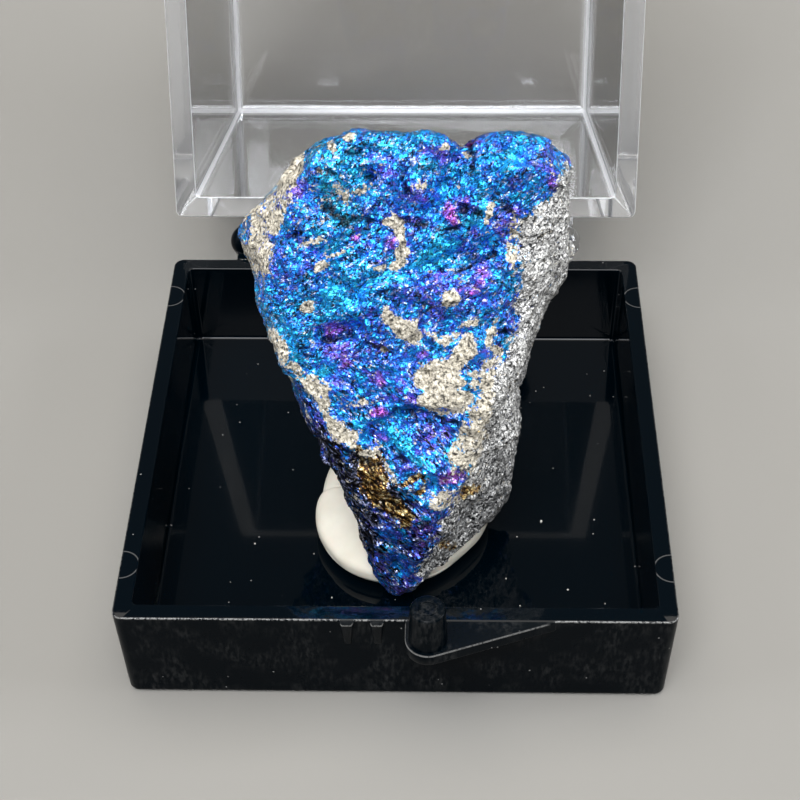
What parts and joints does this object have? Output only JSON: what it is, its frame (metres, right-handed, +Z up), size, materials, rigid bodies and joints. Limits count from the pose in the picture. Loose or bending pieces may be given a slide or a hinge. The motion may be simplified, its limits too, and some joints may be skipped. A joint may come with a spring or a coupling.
{
  "type": "boxed peacock ore specimen",
  "caption": "Upright slab of blue iridescent peacock ore pressed into putty inside a small square specimen box with a low black tray and a clear hinged lid that stands open",
  "frame": {"origin": "centre of the tray's underside, on the surface that the box stands on", "axes": "+X to the right seen from the catch side, +Y from the catch towards the hinge, +Z up"},
  "size_m": [0.041, 0.0925, 0.0532],
  "materials": {
    "black_plastic": "polished black styrene, satin outside with scuffs and dust",
    "clear_plastic": "clear polished styrene",
    "mineral_putty": "smooth matte off-white putty",
    "tarnished_ore": "granular metallic sulphide with blue and violet tarnish and pale grey matrix"
  },
  "bodies": {
    "tray": {"base_tray": "black_plastic", "putty": "mineral_putty", "peacock_ore": "tarnished_ore"},
    "cover": {"lid": "clear_plastic"}
  },
  "joints": [
    {"name": "lid_hinge", "type": "hinge", "parent": "tray", "child": "cover", "pos_m": [0, 0.02275, 0.0094], "axis": [1, 0, 0], "range_deg": [0, 111]}
  ]
}
